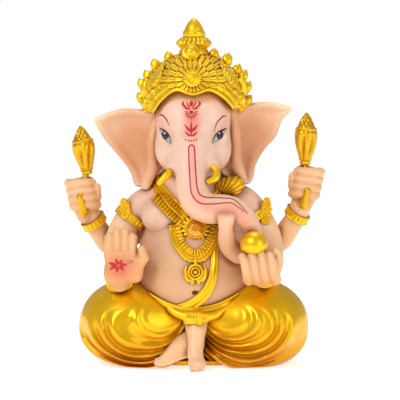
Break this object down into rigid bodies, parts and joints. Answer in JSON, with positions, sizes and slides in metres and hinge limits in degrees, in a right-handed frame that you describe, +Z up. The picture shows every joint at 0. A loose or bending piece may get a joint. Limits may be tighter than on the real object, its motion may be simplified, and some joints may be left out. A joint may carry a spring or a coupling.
{
  "type": "ganesha idol",
  "caption": "Seated four-armed elephant-headed devotional figure in painted cast resin, with crown, jewellery, puffed trousers and a sweet in one cupped hand",
  "frame": {"origin": "on the ground, at the middle of the base plate's flat underside", "axes": "+Z up, the figure faces -Y, and +X is the figure's own left"},
  "size_m": [0.1088, 0.072, 0.147],
  "materials": {
    "painted_skin": "cast polyresin, airbrushed flesh pink to warm orange, satin matt, with fine pinholes",
    "gold_paint": "yellow-gold metallic paint over cast resin, satin, with brown wash left in the creases",
    "red_stone": "gloss red lacquer on a faceted cast stone"
  },
  "bodies": {
    "root": {"torso": "painted_skin", "head": "painted_skin", "right_ear": "painted_skin", "left_ear": "painted_skin", "right_tusk": "gold_paint", "left_tusk": "gold_paint", "crown_cap": "gold_paint", "crown_rim": "gold_paint", "crown_fan": "gold_paint", "crown_rosette": "gold_paint", "crown_jewel": "gold_paint", "crown_leaves": "gold_paint", "finial_lotus": "gold_paint", "finial_bud": "gold_paint", "collar": "gold_paint", "chest_brooch": "gold_paint", "chest_gem": "red_stone", "festoon": "gold_paint", "pendant": "gold_paint", "sash": "gold_paint", "front_right_arm": "painted_skin", "front_right_hand": "painted_skin", "front_left_arm": "painted_skin", "front_left_hand": "painted_skin", "modak": "gold_paint", "rear_right_arm": "painted_skin", "rear_right_hand": "painted_skin", "rear_left_arm": "painted_skin", "rear_left_hand": "painted_skin", "right_mace": "gold_paint", "left_mace": "gold_paint", "front_right_bracelet": "gold_paint", "front_left_bracelet": "gold_paint", "rear_right_bracelet": "gold_paint", "rear_left_bracelet": "gold_paint", "right_armlet": "gold_paint", "left_armlet": "gold_paint", "right_armlet_crest": "gold_paint", "left_armlet_crest": "gold_paint", "waistband": "gold_paint", "waist_knot": "gold_paint", "right_dhoti_leg": "gold_paint", "left_dhoti_leg": "gold_paint", "dhoti_seat": "gold_paint", "hanging_foot": "painted_skin", "folded_foot": "painted_skin", "base_plate": "painted_skin"}
  },
  "joints": []
}
